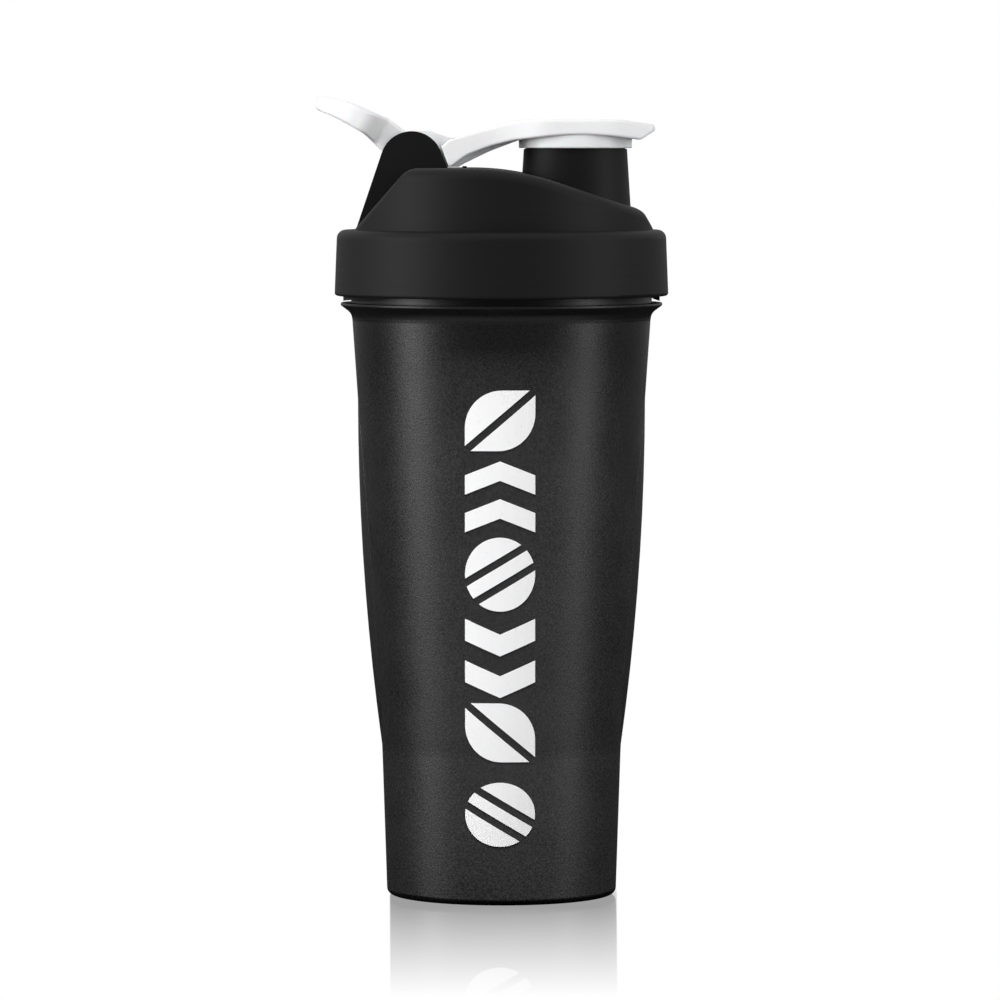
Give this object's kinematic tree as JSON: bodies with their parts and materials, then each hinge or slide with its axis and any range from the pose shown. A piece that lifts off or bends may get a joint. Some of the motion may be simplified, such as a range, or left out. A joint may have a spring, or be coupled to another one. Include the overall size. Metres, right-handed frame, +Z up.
{
  "type": "protein shaker bottle",
  "caption": "Tapered shaker cup with side grips, screw lid with a round spout, flip cap, finger loop and a loose wire whisk ball inside.",
  "frame": {"origin": "centre of the foot ring on the plane the bottle stands on, on the axis of the cup", "axes": "+Z up along the cup's axis, +X towards the spout, hinge axis along Y on the -X side"},
  "size_m": [0.1041, 0.0986, 0.2362],
  "materials": {
    "cup_plastic": "frosted moulded polypropylene, black",
    "lid_plastic": "fine matt moulded polypropylene, black",
    "white_plastic": "satin moulded polypropylene, white",
    "silicone": "moulded silicone, translucent grey",
    "steel_wire": "drawn and polished stainless steel wire",
    "steel_pin": "turned stainless steel",
    "print_white": "screen printed white ink"
  },
  "bodies": {
    "cup": {"cup_body": "cup_plastic"},
    "gasket": {"lid_gasket": "silicone"},
    "lid": {"lid_shell": "lid_plastic", "hinge_pin": "steel_pin"},
    "cap": {"flip_cap": "white_plastic", "spout_seal": "silicone"},
    "loop": {"carry_loop": "white_plastic"},
    "ball": {"whisk_ball": "steel_wire"}
  },
  "joints": [
    {"name": "lid_rise", "type": "slide", "parent": "cup", "child": "gasket", "axis": [0, 0, 1], "range_m": [0, 0.024]},
    {"name": "lid_turn", "type": "hinge", "parent": "gasket", "child": "lid", "pos_m": [0, 0, 0.191], "axis": [0, 0, 1], "range_deg": [0, 720]},
    {"name": "cap_flip", "type": "hinge", "parent": "lid", "child": "cap", "pos_m": [-0.0264, 0, 0.2181], "axis": [0, -1, 0], "range_deg": [0, 85]},
    {"name": "loop_swing", "type": "hinge", "parent": "lid", "child": "loop", "pos_m": [-0.0264, 0, 0.2181], "axis": [0, -1, 0], "range_deg": [0, 32]},
    {"name": "ball_hop", "type": "slide", "parent": "cup", "child": "ball", "axis": [0, 0, 1], "range_m": [0, 0.13]}
  ],
  "couplings": [
    {"joint": "lid_rise", "follows": "lid_turn", "m_per_rad": 0.0019099}
  ]
}
